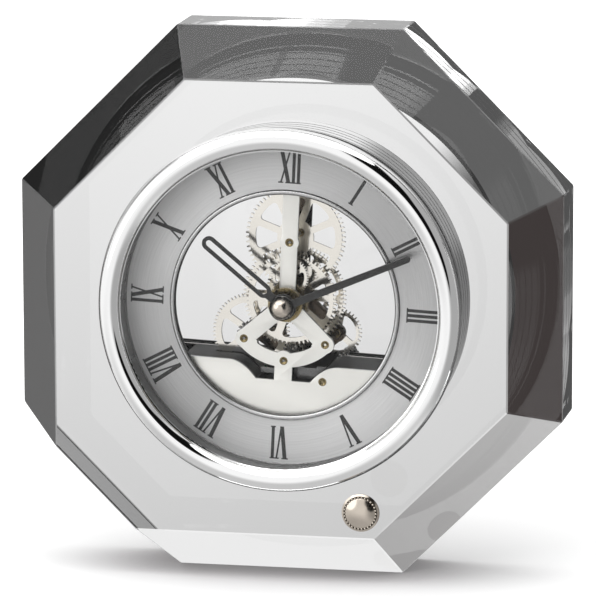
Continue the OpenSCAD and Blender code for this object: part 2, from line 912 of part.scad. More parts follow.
module relay_pinion() {
    color(steel) at(foot_axis) union() {
        train_arbor(front_plate_h, rear_plate_back_h);
        pinion(middle_plane_h, relay_module, relay_pinion_z, relay_phase);
    }
}

module left_wheel() {
    color(champagne) at(left_axis) spoked_wheel(
        middle_plane_h, relay_module, left_z, left_wheel_phase, 8.8, 2.6, 5, 1.9, 1, arbor_r
    );
}

module left_pinion() {
    color(steel) at(left_axis) union() {
        train_arbor(front_plate_h, rear_plate_back_h);
        pinion(inner_plane_h, left_module, left_pinion_z, left_phase);
    }
}

module inner_wheel() {
    color(champagne) insert_frame() spoked_wheel(
        inner_plane_h, left_module, inner_z, inner_wheel_phase, 11.3, 4, 5, 2.2, 1, 1.5
    );
}

// Runs free on the minute arbor
module inner_pinion() {
    color(steel) insert_frame() difference() {
        union() {
            rod(inner_plane_h + 0.4, middle_plane_h + pinion_over, 1.5);
            pinion(middle_plane_h, top_module, inner_pinion_z, inner_phase);
        }
        rod(10, -20, minute_arbor_r + run_gap);
    }
}

module top_wheel() {
    color(champagne) at(top_axis) spoked_wheel(
        middle_plane_h, top_module, top_z, top_wheel_phase, 11.8, 5.4, 8, 2, 1, arbor_r
    );
}

module top_pinion() {
    color(steel) at(top_axis) union() {
        train_arbor(plate_back_h, rear_plate_back_h);
        pinion(centre_plane_h, centre_module, top_pinion_z, top_phase);
    }
}

module centre_wheel() {
    color(champagne) insert_frame() spoked_wheel(
        centre_plane_h, centre_module, centre_z, centre_phase, 13.2, 4.5, 6, 2, 1,
        minute_arbor_r
    );
}

module minute_arbor() {
    color(steel) insert_frame() rod(hand_h + 1.6, setting_plane_h - 1.2, minute_arbor_r);
}

module cannon_pinion() {
    color(steel) insert_frame() difference() {
        union() {
            rod(hand_h - hand_t, motion_plane_h, cannon_r);
            slab(motion_plane_h + 0.1, wheel_t + 0.1)
                rotate(cannon_phase) pinion_teeth(cannon_module, cannon_z);
        }
        rod(20, 0, minute_arbor_r);
    }
}

// Motion work: minute arbor to hour pipe, twelve to one
module motion_wheel() {
    color(champagne) at(motion_axis) difference() {
        union() {
            slab(motion_plane_h, 0.7) rotate(motion_phase) difference() {
                wheel_teeth(cannon_module, motion_z);
                windows(2.1, 4.3, 4, 1.1, 0.5);
            }
            slab(bridge_back_h - 0.2, bridge_back_h - 0.2 - motion_plane_h)
                rotate(motion_phase) pinion_teeth(hour_module, motion_pinion_z);
        }
        rod(10, -10, motion_post_r + run_gap);
    }
}

module hour_wheel() {
    color(brass) insert_frame() difference() {
        union() {
            slab(hour_plane_h, 0.7) rotate(hour_phase) wheel_teeth(hour_module, hour_z);
            rod(hour_hand_h, hour_plane_h, hour_pipe_r);
        }
        rod(20, 0, cannon_r + run_gap);
    }
}

module hour_collet() {
    color(brass) insert_frame() tube(hour_hand_h - hand_t, hour_hand_h - hand_t - 1, 3.6, hour_pipe_r);
}

// Hands
function clock(a) = 90 - a;

module hour_hand() {
    hand_w = 4.2;
    slot_w = 1.9;
    slot_start = 7.2;
    color(dark) insert_frame() slab(hour_hand_h, hand_t) rotate(clock(hour_angle)) difference() {
        union() {
            circle(3.9);
            translate([0, -1.3]) square([slot_start, 2.6]);
            for (x = [slot_start, hour_len - hand_w / 2]) translate([x, 0]) circle(hand_w / 2);
            translate([slot_start, -hand_w / 2])
                square([hour_len - hand_w / 2 - slot_start, hand_w]);
        }
        for (x = [slot_start, hour_len - hand_w / 2]) translate([x, 0]) circle(slot_w / 2);
        translate([slot_start, -slot_w / 2])
            square([hour_len - hand_w / 2 - slot_start, slot_w]);
        circle(hour_pipe_r);
    }
}

module minute_hand() {
    root_w = 2.3;
    tip_w = 1.9;
    tip_x = minute_len - tip_w / 2;
    color(dark) insert_frame() slab(hand_h, hand_t) rotate(clock(minute_angle)) difference() {
        union() {
            circle(3.2);
            polygon([
                [0, -root_w / 2], [tip_x, -tip_w / 2], [tip_x, tip_w / 2], [0, root_w / 2]
            ]);
            translate([tip_x, 0]) circle(tip_w / 2);
        }
        circle(minute_arbor_r);
    }
}

module hand_nut() {
    rim_t = 0.5;
    ball_r = (nut_r * nut_r + nut_rise * nut_rise) / (2 * nut_rise);
    color(silver) insert_frame() translate([0, 0, hand_h]) difference() {
        rotate_extrude() union() {
            square([nut_r, rim_t]);
            intersection() {
                translate([0, rim_t + nut_rise - ball_r]) circle(ball_r);
                square([nut_r, rim_t + nut_rise]);
            }
        }
        rod(1.7, -0.1, minute_arbor_r);
    }
}

// Setting: gear on the minute arbor, idler, and the knob behind the cover
module setting_gear() {
    color(champagne) insert_frame() spoked_wheel(
        setting_plane_h, setting_module, setting_z, setting_phase, 8, 3, 4, 1.8, 0.8,
        minute_arbor_r
    );
}

module idler_wheel() {
    color(champagne) at(right_axis) union() {
        spoked_wheel(
            setting_plane_h, setting_module, idler_z, idler_phase, 5.5, 2.4, 3, 1.7, 0.7,
            arbor_r - fit
        );
        rod(front_plate_h - 0.25, front_plate_h - pivot_len, pivot_r);
        rod(front_plate_h - pivot_len, setting_plane_h - wheel_t - 0.6, arbor_r);
    }
}

module knob_pinion() {
    color(steel) at(knob_axis) union() {
        rod(rear_plate_h, knob_back_h + 1, arbor_r);
        slab(setting_plane_h + 0.2, wheel_t + 0.4)
            rotate(knob_phase) pinion_teeth(setting_module, knob_z);
    }
}

module setting_knob() {
    color([0.15, 0.15, 0.16]) at(knob_axis) difference() {
        rod(cover_back_h - 0.5, knob_back_h, knob_r);
        for (i = [0:17]) rotate(i * 20) translate([knob_r, 0, knob_back_h - 1])
            cylinder(h = 3.8, r = 0.22);
        rod(0, knob_back_h + 1, arbor_r);
    }
}

crystal_block();
medallion();
bezel();
front_lens();
inner_ring();
dial();
dial_rim();
case_ring();
tension_band();
front_plate();
upper_bridge();
rear_plate();
top_pillar();
centre_bush();
front_bushes();
rear_bushes();
plate_screws();
bridge_screws();
motion_post();
module_case();
stator();
coil();
coil_core();
circuit_board();
quartz_can();
battery();
contact_plus();
contact_minus();
rear_cover();
rear_lens();
cover_screws();
battery_hatch();
rotor();
rotor_pinion();
relay_wheel();
relay_pinion();
left_wheel();
left_pinion();
inner_wheel();
inner_pinion();
top_wheel();
top_pinion();
centre_wheel();
minute_arbor();
cannon_pinion();
minute_hand();
hand_nut();
motion_wheel();
hour_wheel();
hour_collet();
hour_hand();
setting_gear();
idler_wheel();
knob_pinion();
setting_knob();
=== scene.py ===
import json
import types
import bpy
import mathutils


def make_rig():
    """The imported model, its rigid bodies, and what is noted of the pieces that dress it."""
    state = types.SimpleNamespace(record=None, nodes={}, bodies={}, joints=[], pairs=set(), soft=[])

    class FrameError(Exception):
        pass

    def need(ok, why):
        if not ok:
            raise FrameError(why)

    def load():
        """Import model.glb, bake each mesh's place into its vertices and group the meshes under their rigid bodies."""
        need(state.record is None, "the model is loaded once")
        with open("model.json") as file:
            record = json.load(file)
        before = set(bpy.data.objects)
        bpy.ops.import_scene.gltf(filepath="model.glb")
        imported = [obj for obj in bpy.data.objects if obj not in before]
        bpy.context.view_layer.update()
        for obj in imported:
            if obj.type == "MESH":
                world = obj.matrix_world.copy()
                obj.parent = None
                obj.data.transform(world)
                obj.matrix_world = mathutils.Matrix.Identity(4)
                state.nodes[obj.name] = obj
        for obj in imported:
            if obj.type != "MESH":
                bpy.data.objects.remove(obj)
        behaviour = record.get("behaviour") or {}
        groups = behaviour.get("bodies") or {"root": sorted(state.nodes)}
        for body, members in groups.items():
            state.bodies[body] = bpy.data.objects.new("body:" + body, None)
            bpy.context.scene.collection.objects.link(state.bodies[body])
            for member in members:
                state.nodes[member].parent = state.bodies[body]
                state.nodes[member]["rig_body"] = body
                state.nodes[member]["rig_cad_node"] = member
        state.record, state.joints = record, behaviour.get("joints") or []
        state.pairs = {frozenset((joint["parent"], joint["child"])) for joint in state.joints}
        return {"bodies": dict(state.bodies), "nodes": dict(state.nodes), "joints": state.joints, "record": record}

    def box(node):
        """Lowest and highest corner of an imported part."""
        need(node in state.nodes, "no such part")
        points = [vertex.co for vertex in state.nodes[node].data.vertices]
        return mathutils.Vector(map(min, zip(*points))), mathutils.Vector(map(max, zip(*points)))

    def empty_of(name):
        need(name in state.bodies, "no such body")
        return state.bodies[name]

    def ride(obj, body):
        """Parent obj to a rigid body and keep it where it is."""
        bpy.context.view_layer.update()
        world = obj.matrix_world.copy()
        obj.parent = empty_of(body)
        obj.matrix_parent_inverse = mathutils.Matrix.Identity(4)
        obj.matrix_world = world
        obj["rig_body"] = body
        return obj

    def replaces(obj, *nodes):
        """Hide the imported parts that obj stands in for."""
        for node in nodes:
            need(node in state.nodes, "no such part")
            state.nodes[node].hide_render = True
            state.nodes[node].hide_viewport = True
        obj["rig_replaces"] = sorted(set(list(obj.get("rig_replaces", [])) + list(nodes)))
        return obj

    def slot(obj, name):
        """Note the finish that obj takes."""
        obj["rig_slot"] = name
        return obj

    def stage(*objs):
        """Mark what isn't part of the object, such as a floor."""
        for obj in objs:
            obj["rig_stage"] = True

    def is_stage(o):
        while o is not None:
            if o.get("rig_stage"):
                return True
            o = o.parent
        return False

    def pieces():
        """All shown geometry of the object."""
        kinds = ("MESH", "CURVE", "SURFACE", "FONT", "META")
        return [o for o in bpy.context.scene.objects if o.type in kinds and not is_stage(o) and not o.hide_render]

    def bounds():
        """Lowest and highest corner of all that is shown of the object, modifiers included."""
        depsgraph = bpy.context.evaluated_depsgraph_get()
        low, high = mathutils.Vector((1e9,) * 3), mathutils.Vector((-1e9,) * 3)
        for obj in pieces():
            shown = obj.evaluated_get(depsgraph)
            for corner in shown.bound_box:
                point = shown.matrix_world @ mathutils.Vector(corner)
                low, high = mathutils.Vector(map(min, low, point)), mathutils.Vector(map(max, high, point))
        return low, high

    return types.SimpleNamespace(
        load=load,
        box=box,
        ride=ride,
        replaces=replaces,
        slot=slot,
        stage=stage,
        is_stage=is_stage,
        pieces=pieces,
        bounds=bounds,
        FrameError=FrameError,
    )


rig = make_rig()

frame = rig.load()

import json
import math

import bmesh
import bpy
from mathutils import Matrix, Vector

cad_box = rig.bounds()
scene = bpy.context.scene
MM = 0.001

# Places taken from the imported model: dial axis, turn of the insert, planes of the block
joints = {j["name"]: Vector(j["pos_m"]) for j in frame["joints"] if "pos_m" in j}
hub = joints["minute_hand_turn"]
top_arbor = joints["top_wheel_turn"]
insert_turn = math.atan2(top_arbor.x - hub.x, top_arbor.z - hub.z)


def front_height(node):
    """Height of a node's front above the plane behind the bevels, in mm."""
    return (hub.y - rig.box(node)[0].y) / MM


def back_height(node):
    return (hub.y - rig.box(node)[1].y) / MM


def reach(node):
    """Outer radius of a round node, in mm."""
    low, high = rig.box(node)
    return (high.x - low.x) / 2 / MM


def bore(node):
    """Inner radius of a round node, in mm."""
    points = [v.co for v in frame["nodes"][node].data.vertices]
    return min(math.hypot(point.x - hub.x, point.z - hub.z) for point in points) / MM


face_h = front_height("crystal_block")
back_h = back_height("crystal_block")
half_w = reach("crystal_block")
dial_h = front_height("dial")
lens_h = front_height("front_lens")

# Sizes in mm that the boxes don't give
BEVEL_INSET = 13.6
NARROW_INSET = 2.8
NARROW_SIDE = 5
ARRIS_W = 0.3
BORE_STEPS = 720
STUD_EDGE, BEADS, BEAD_R = 0.35, 30, 0.36
SKIRT_T, LIP_T = 0.5, 0.45

# Index of the crystal, and a low one that stands for the lenses' coating
CRYSTAL_IOR, COATED_IOR = 1.52, 1.22

# Scale of the finest noise in metal and plastic
METAL_GRAIN, PLASTIC_GRAIN = 2500.0, 4000.0

# Insert and block frames: x right, y up, z towards the viewer, in mm from the dial axis
BLOCK = Matrix.Translation(hub) @ Matrix.Rotation(math.radians(90), 4, "X") @ Matrix.Scale(MM, 4)
INSERT = (
    Matrix.Translation(hub)
    @ Matrix.Rotation(insert_turn, 4, "Y")
    @ Matrix.Rotation(math.radians(90), 4, "X")
    @ Matrix.Scale(MM, 4)
)


def aim(azimuth, elevation):
    """Direction from the object: azimuth 0 is straight behind it, 90 to its right; degrees."""
    a, e = math.radians(azimuth), math.radians(elevation)
    return Vector((math.sin(a) * math.cos(e), math.cos(a) * math.cos(e), math.sin(e)))


# Camera
def add_camera():
    azimuth, elevation, roll = 11.38, 10.93, math.radians(-0.15)
    distance, side_step = 1.6, 2.2 * MM
    focal_px, frame_px = 5515, 600
    back = aim(180 - azimuth, elevation)
    data = bpy.data.cameras.new("camera")
    data.sensor_width = 36
    data.lens = data.sensor_width * focal_px / frame_px
    data.clip_start, data.clip_end = 0.05, 20
    camera = bpy.data.objects.new("camera", data)
    place = hub + Vector((side_step, 0, 0)) + back * distance
    turn = back.to_track_quat("Z", "Y").to_matrix().to_4x4()
    camera.matrix_world = Matrix.Translation(place) @ turn @ Matrix.Rotation(roll, 4, "Z")
    scene.collection.objects.link(camera)
    scene.camera = camera


# Shader nodes
class Nodes:
    """Adds shader nodes to a tree, with inputs given by name."""

    def __init__(self, tree):
        self.tree = tree
        tree.nodes.clear()

    def plug(self, socket, value):
        if isinstance(value, bpy.types.NodeSocket):
            self.tree.links.new(value, socket)
        else:
            socket.default_value = value

    def add(self, kind, out=0, settings=None, **inputs):
        node = self.tree.nodes.new(kind)
        for name, value in (settings or {}).items():
            setattr(node, name, value)
        for name, value in inputs.items():
            key = int(name[1:]) if name[0] == "i" and name[1:].isdigit() else name.replace("_", " ")
            self.plug(node.inputs[key], value)
        return node.outputs[out]

    def math(self, operation, a, b=0.0):
        return self.add("ShaderNodeMath", settings={"operation": operation}, i0=a, i1=b)

    def vector(self, operation, a, b=(0, 0, 0), out=0):
        return self.add("ShaderNodeVectorMath", out=out, settings={"operation": operation}, i0=a, i1=b)

    def ramp(self, factor, low, high, from_min=0.0, from_max=1.0, kind="LINEAR"):
        return self.add("ShaderNodeMapRange", settings={"interpolation_type": kind}, Value=factor,
                        From_Min=from_min, From_Max=from_max, To_Min=low, To_Max=high)

    def mix(self, factor, a, b):
        node = self.tree.nodes.new("ShaderNodeMix")
        node.data_type = "RGBA"
        for index, value in ((0, factor), (6, a), (7, b)):
            self.plug(node.inputs[index], value)
        return node.outputs[2]

    def noise(self, point, scale, detail=3.0, roughness=0.5):
        return self.add("ShaderNodeTexNoise", Vector=point, Scale=scale, Detail=detail, Roughness=roughness)

    def rays(self, *kinds):
        """1 for rays of any of these kinds."""
        path = self.tree.nodes.new("ShaderNodeLightPath")
        found = path.outputs[f"Is {kinds[0]} Ray"]
        for kind in kinds[1:]:
            found = self.math("MAXIMUM", found, path.outputs[f"Is {kind} Ray"])
        return found

    def output(self, shader, kind="ShaderNodeOutputMaterial"):
        node = self.tree.nodes.new(kind)
        self.tree.links.new(shader, node.inputs[0])


def rgb(value):
    """Colour socket value from a grey level or three sRGB levels, 0 to 255."""
    levels = (value,) * 3 if isinstance(value, (int, float)) else value
    linear = [c / 255 / 12.92 if c <= 10 else ((c / 255 + 0.055) / 1.055) ** 2.4 for c in levels]
    return (*linear, 1.0)


def shaded(colour, amount):
    return tuple(max(0.0, min(1.0, c * (1 + amount))) for c in colour[:3]) + (1.0,)


def new_material(name):
    found = bpy.data.materials.new(name)
    found.use_nodes = True
    return found, Nodes(found.node_tree)


def object_point(n):
    return n.add("ShaderNodeTexCoord", out=3)


def around(n, centre):
    """Distance from an axis that runs front to back through centre, and the direction from it."""
    flat = n.vector("MULTIPLY", n.vector("SUBTRACT", object_point(n), tuple(centre)), (1, 0, 1))
    return n.vector("LENGTH", flat, out=1), n.vector("NORMALIZE", flat)


def edge_highlight_mask(n, width):
    """Mask for a painted edge highlight: 1 on convex edges, 0 on flats, from a bevelled normal set against the true
    one.
    """
    soft = n.add("ShaderNodeBevel", settings={"samples": 4}, Radius=width)
    flat = n.add("ShaderNodeNewGeometry", out=1)
    return n.ramp(n.vector("DOT_PRODUCT", soft, flat, out=1), 1.0, 0.0, 0.8, 0.99)


def satin_metal(name, colour, roughness, bump=0.05, shade=0.06, edge=0.0, metallic=1.0, side_shade=None):
    """Metal with a fine all-over grain and cloudy tone; if asked, a painted highlight on convex edges and painted
    shade on side walls.
    """
    mat, n = new_material(name)
    point = object_point(n)
    fine = n.noise(point, METAL_GRAIN, 3.0, 0.6)
    cloud = n.noise(point, 70.0, 2.0)
    tone = n.mix(n.ramp(cloud, 0.0, 1.0, 0.35, 0.65), shaded(colour, -shade), shaded(colour, shade))
    # Painted shade: faces that look neither front nor back take the darker side tone.
    if side_shade:
        normal = n.add("ShaderNodeTexCoord", out=1)
        level = n.math("ABSOLUTE", n.vector("DOT_PRODUCT", normal, (0, 1, 0), out=1))
        tone = n.mix(n.ramp(level, 0.0, 1.0, 0.4, 0.85), side_shade, tone)
    # Painted highlight: convex edges are mixed towards near white by the edge amount.
    if edge:
        tone = n.mix(n.math("MULTIPLY", edge_highlight_mask(n, 0.00012), edge), tone, rgb(252))
    rough = n.ramp(fine, roughness * 0.8, roughness * 1.2, 0.3, 0.7)
    relief = n.add("ShaderNodeBump", Strength=bump, Distance=0.00005, Height=fine)
    n.output(n.add("ShaderNodeBsdfPrincipled", Base_Color=tone, Metallic=metallic, Roughness=rough,
                   Normal=relief))
    return mat


def turned_metal(name, colour, roughness, centre, pitch=4500.0, bump=0.35, shade=0.09, anisotropic=0.0):
    """Metal with broken circular brush lines about an axis."""
    mat, n = new_material(name)
    distance, direction = around(n, centre)
    line = n.add("ShaderNodeCombineXYZ", X=n.math("MULTIPLY", distance, pitch))
    drift = n.vector("MULTIPLY", direction, (2.5, 2.5, 2.5))
    brush = n.noise(n.vector("ADD", line, drift), 1.0, 3.0, 0.65)
    cloud = n.noise(object_point(n), 45.0, 2.0)
    both = n.math("ADD", n.math("MULTIPLY", brush, 0.7), n.math("MULTIPLY", cloud, 0.3))
    tone = n.mix(n.ramp(both, 0.0, 1.0, 0.35, 0.65), shaded(colour, -shade), shaded(colour, shade))
    rough = n.ramp(brush, roughness * 0.85, roughness * 1.15, 0.3, 0.7)
    relief = n.add("ShaderNodeBump", Strength=bump, Distance=0.00004, Height=brush)
    tangent = n.add("ShaderNodeTangent", settings={"direction_type": "RADIAL", "axis": "Y"})
    n.output(n.add("ShaderNodeBsdfPrincipled", Base_Color=tone, Metallic=1.0, Roughness=rough,
                   Anisotropic=anisotropic, Anisotropic_Rotation=0.25, Tangent=tangent, Normal=relief))
    return mat


def satin_ring_painted_shade(name, colour, dark, roughness, centre, middle, half_width):
    """Satin ring in its own tone on the crown, with painted shade darkening it towards both feet; middle and half
    width in mm.
    """
    mat, n = new_material(name)
    distance = around(n, centre)[0]
    off = n.math("ABSOLUTE", n.math("SUBTRACT", distance, middle * MM))
    crown = n.ramp(off, 1.0, 0.0, half_width * 0.72 * MM, half_width * 0.9 * MM)
    grain = n.noise(object_point(n), 3000.0)
    # Painted shade: the tone goes to the dark colour towards both feet of the ring.
    tone = n.mix(crown, dark, n.mix(grain, shaded(colour, -0.06), shaded(colour, 0.06)))
    relief = n.add("ShaderNodeBump", Strength=0.08, Distance=0.00005, Height=grain)
    n.output(n.add("ShaderNodeBsdfPrincipled", Base_Color=tone, Metallic=1.0, Roughness=roughness,
                   Normal=relief))
    return mat


def moulded(name, colour, roughness, shade=0.12, specular=0.5):
    """Plastic or rubber with a fine texture."""
    mat, n = new_material(name)
    point = object_point(n)
    fine = n.noise(point, PLASTIC_GRAIN)
    cloud = n.noise(point, 90.0)
    tone = n.mix(n.ramp(cloud, 0.0, 1.0, 0.35, 0.65), shaded(colour, -shade), shaded(colour, shade))
    rough = n.ramp(cloud, roughness * 0.85, roughness * 1.15, 0.3, 0.7)
    relief = n.add("ShaderNodeBump", Strength=0.1, Distance=0.00005, Height=fine)
    n.output(n.add("ShaderNodeBsdfPrincipled", Base_Color=tone, Roughness=rough,
                   Specular_IOR_Level=specular, Normal=relief))
    return mat


def clear_glass(name, ior, lamp_tint, soft_tint, tint=rgb(252)):
    """Polished glass; lamp light and bounced light pass it, dimmed by a tint at each face."""
    mat, n = new_material(name)
    cast = n.noise(object_point(n), 12.0, 1.0)
    body = n.mix(n.ramp(cast, 0.0, 1.0, 0.3, 0.7), tint, shaded(tint, -0.01))
    glass = n.add("ShaderNodeBsdfGlass", Color=body, Roughness=0.0, IOR=ior)
    lamp = n.add("ShaderNodeBsdfTransparent", Color=lamp_tint)
    soft = n.add("ShaderNodeBsdfTransparent", Color=soft_tint)
    lit = n.add("ShaderNodeMixShader", i0=n.rays("Shadow"), i1=glass, i2=lamp)
    n.output(n.add("ShaderNodeMixShader", i0=n.rays("Diffuse"), i1=lit, i2=soft))
    return mat


# Meshes
def add_mesh(name, verts, faces, matrix, material, body="root", smooth=None, slot=None):
    mesh = bpy.data.meshes.new(name)
    mesh.from_pydata([matrix @ Vector(v) for v in verts], [], faces)
    bm = bmesh.new()
    bm.from_mesh(mesh)
    bmesh.ops.remove_doubles(bm, verts=bm.verts, dist=1e-7)
    bmesh.ops.recalc_face_normals(bm, faces=bm.faces)
    bm.to_mesh(mesh)
    bm.free()
    if smooth is not None:
        mesh.shade_smooth()
        mesh.set_sharp_from_angle(angle=math.radians(smooth))
    return place(name, mesh, material, body, slot)


def place(name, mesh, material, body="root", slot=None):
    obj = bpy.data.objects.new(name, mesh)
    mesh.materials.clear()
    mesh.materials.append(material)
    scene.collection.objects.link(obj)
    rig.ride(obj, body)
    if slot:
        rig.slot(obj, slot)
    return obj


def revolve(name, profile, material, matrix=INSERT, steps=360, smooth=30, **options):
    """Turned piece: profile is a closed list of (radius, height) in mm about the matrix's z axis."""
    verts, faces = [], []
    count = len(profile)
    for i in range(steps):
        a = math.tau * i / steps
        verts += [(r * math.cos(a), r * math.sin(a), h) for r, h in profile]
    for i in range(steps):
        j = (i + 1) % steps
        for k in range(count):
            m = (k + 1) % count
            if profile[k][0] or profile[m][0]:
                faces.append((i * count + k, j * count + k, j * count + m, i * count + m))
    return add_mesh(name, verts, faces, matrix, material, smooth=smooth, **options)


def arc(centre, radius, start, end, steps=24):
    angles = [math.radians(start + (end - start) * i / steps) for i in range(steps + 1)]
    return [(centre[0] + radius * math.cos(a), centre[1] + radius * math.sin(a)) for a in angles]


def evaluated(obj):
    """A new mesh from obj with its modifiers applied; obj goes."""
    graph = bpy.context.evaluated_depsgraph_get()
    mesh = bpy.data.meshes.new_from_object(obj.evaluated_get(graph), depsgraph=graph)
    bpy.data.objects.remove(obj)
    return mesh


def softened(node, width, material, slot):
    """Copy of a CAD node with finely broken edges, shown in its place."""
    source = frame["nodes"][node]
    mesh = source.data.copy()
    bm = bmesh.new()
    bm.from_mesh(mesh)
    bmesh.ops.remove_doubles(bm, verts=bm.verts, dist=1e-6)
    bmesh.ops.dissolve_limit(bm, angle_limit=math.radians(0.5), verts=bm.verts, edges=bm.edges)
    bm.to_mesh(mesh)
    bm.free()
    holder = bpy.data.objects.new("holder", mesh)
    scene.collection.objects.link(holder)
    edge = holder.modifiers.new("edge", "BEVEL")
    edge.width = width * MM
    edge.segments = 2
    edge.limit_method = "ANGLE"
    edge.angle_limit = math.radians(32)
    made = evaluated(holder)
    made.shade_smooth()
    made.set_sharp_from_angle(angle=math.radians(24))
    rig.replaces(place(node + "_finished", made, material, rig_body(node), slot), node)


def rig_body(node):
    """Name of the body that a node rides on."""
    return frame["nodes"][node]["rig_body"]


# Studio: soft cards around the object, each a patch of one tone in the world.
# Their places and tones are fitted to how the crystal looks in the photo's view.
BRIGHT, HAZE = rgb(250), rgb(95)
CARDS = (
    # azimuth, elevation, full within and gone beyond (degrees), tone
    (95, 0, 38, 60, rgb(168)),          # grey wall to the right
    (131, -11, 12, 45, rgb(168)),       # its front end
    (-149, -66, 25, 62, rgb(198)),      # table in front
    (150, 10, 12, 17, rgb(12)),         # black strip, front right, from the table up
    (152, 26, 15, 21, rgb(12)),
    (146, 46, 16, 22, rgb(12)),
    (134, 64, 13, 20, rgb(16)),
    (-45, -8.7, 8, 30.5, rgb((54, 46, 45))),  # dark card, left behind
    (-72, 26, 8, 20, rgb(26)),          # its upper end
    (35, -10, 18, 47, rgb(94)),         # grey card, right behind
    (12, 9, 7, 14, rgb(150)),           # its upper left corner
    (16, -40, 12, 26, rgb(40)),         # dark card, low behind
    (-14.7, -42, 9, 20, rgb(26)),       # its left end
    (-34, -30, 5, 12, rgb(94)),         # grey gap between the two dark ones
)


def add_world():
    world = bpy.data.worlds.new("studio")
    world.use_nodes = True
    n = Nodes(world.node_tree)
    direction = n.add("ShaderNodeTexCoord", out=0)
    parts = n.tree.nodes.new("ShaderNodeSeparateXYZ")
    n.plug(parts.inputs[0], direction)
    behind = n.ramp(parts.outputs["Y"], 0.0, 1.0, -0.1, 0.4, "SMOOTHSTEP")
    low = n.ramp(parts.outputs["Z"], 1.0, 0.0, -0.42, -0.133)
    tone = n.mix(n.math("MULTIPLY", behind, low), BRIGHT, HAZE)
    for azimuth, elevation, inner, outer, card in CARDS:
        facing = n.vector("DOT_PRODUCT", direction, tuple(aim(azimuth, elevation)), out=1)
        edges = [math.cos(math.radians(a)) for a in (outer, inner)]
        tone = n.mix(n.ramp(facing, 0.0, 1.0, *edges, "SMOOTHSTEP"), tone, card)
    shown = n.mix(n.rays("Glossy", "Transmission"), rgb(255), tone)
    strength = n.ramp(n.rays("Camera", "Glossy", "Transmission"), 0.55, 1.0)
    n.output(n.add("ShaderNodeBackground", Color=shown, Strength=strength), "ShaderNodeOutputWorld")
    scene.world = world


# Floor: metres over which its glow grows, reach of the contact shade and the shade's darkest tone
GLOW_NEAR, GLOW_FAR, CONTACT_REACH = 0.05, 0.6, 0.05
CONTACT_TONE = rgb((176, 166, 169))


def add_floor():
    """White floor. It glows away from the object, and ambient occlusion deepens the shadow near it."""
    mat, n = new_material("floor")
    point = object_point(n)
    grain = n.noise(point, 6.0, 2.0)
    matt = n.add("ShaderNodeBsdfDiffuse", Color=n.mix(grain, rgb(238), rgb(242)))
    away = n.ramp(n.vector("LENGTH", point, out=1), 0.18, 0.62, GLOW_NEAR, GLOW_FAR,
                  "SMOOTHSTEP")
    near = n.add("ShaderNodeAmbientOcclusion", out=1, settings={"samples": 8}, Distance=CONTACT_REACH)
    shade = n.mix(n.ramp(near, 0.0, 1.0, 0.1, 0.66), CONTACT_TONE, rgb(255))
    white = n.add("ShaderNodeBsdfDiffuse", Color=shade)
    glow = n.add("ShaderNodeEmission", Color=rgb(255), Strength=away)
    both = n.add("ShaderNodeAddShader", i0=white, i1=glow)
    n.output(n.add("ShaderNodeMixShader", i0=n.rays("Camera", "Glossy", "Transmission"), i1=matt, i2=both))
    size = 6.0
    mesh = bpy.data.meshes.new("floor")
    mesh.from_pydata([(-size, -size, 0), (size, -size, 0), (size, size, 0), (-size, size, 0)], [],
                     [(0, 1, 2, 3)])
    mesh.materials.append(mat)
    floor = bpy.data.objects.new("floor", mesh)
    floor.visible_transmission = False
    floor.visible_glossy = False
    scene.collection.objects.link(floor)
    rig.stage(floor)


def add_lamp(name, spot, size, power):
    data = bpy.data.lights.new(name, "AREA")
    data.shape = "DISK"
    data.size = size
    data.energy = power
    lamp = bpy.data.objects.new(name, data)
    lamp.location = spot
    lamp.rotation_euler = (hub - Vector(spot)).to_track_quat("-Z", "Y").to_euler()
    scene.collection.objects.link(lamp)


scene.view_settings.view_transform = "Standard"
add_camera()
add_world()
add_floor()
add_lamp("top", (-0.35, -0.45, 2.0), 3.2, 38)
add_lamp("side", (-1.5, -1.4, 0.8), 1.8, 9)

# Materials, one for each slot of the record
champagne = rgb((238, 234, 226))
nickel = rgb((240, 239, 234))
# In these materials the edge amount paints a highlight on convex edges, and the side tone paints shade on side walls.
MATERIALS = {
    "polished_chrome": satin_metal("polished_chrome", rgb(252), 0.05, bump=0.01, shade=0.01),
    "stud_silver": satin_metal("stud_silver", rgb((204, 194, 182)), 0.16, bump=0.1, shade=0.1,
                               side_shade=rgb(110)),
    "dial_silver": turned_metal("dial_silver", rgb(217), 0.45, hub, pitch=2500, anisotropic=0.85),
    "case_black": satin_metal("case_black", rgb(70), 0.3, metallic=0.8),
    "band_rubber": moulded("band_rubber", rgb(30), 0.7),
    "plate_silver": satin_metal("plate_silver", nickel, 0.36, shade=0.025, edge=0.5, side_shade=rgb(150)),
    "plate_dark": satin_metal("plate_dark", rgb((70, 62, 54)), 0.14, shade=0.2),
    "steel": satin_metal("steel", rgb(110), 0.25, edge=0.4),
    "steel_pinion": satin_metal("steel_pinion", rgb(130), 0.2, edge=0.4),
    "brass_bush": satin_metal("brass_bush", rgb((132, 118, 84)), 0.26, edge=0.25),
    "wheel_champagne": satin_metal("wheel_champagne", champagne, 0.1, shade=0.03, edge=0.3,
                                   side_shade=rgb((84, 76, 62))),
    "hand_grey": satin_metal("hand_grey", rgb(54), 0.34, metallic=0.6, edge=0.3, side_shade=rgb(40)),
    "module_black": moulded("module_black", rgb(38), 0.4, shade=0.25, specular=0.03),
    "copper_wire": satin_metal("copper_wire", rgb((186, 112, 60)), 0.35),
    "board_green": moulded("board_green", rgb((34, 92, 60)), 0.4),
    "magnet_black": moulded("magnet_black", rgb(44), 0.45),
    "battery_shell": satin_metal("battery_shell", rgb(170), 0.3),
    "cover_black": moulded("cover_black", rgb(38), 0.45),
    "lens_glass": clear_glass("lens_glass", COATED_IOR, rgb(250), rgb(250), rgb(255)),
    "crystal": clear_glass("crystal", CRYSTAL_IOR, rgb(120), rgb(50)),
}
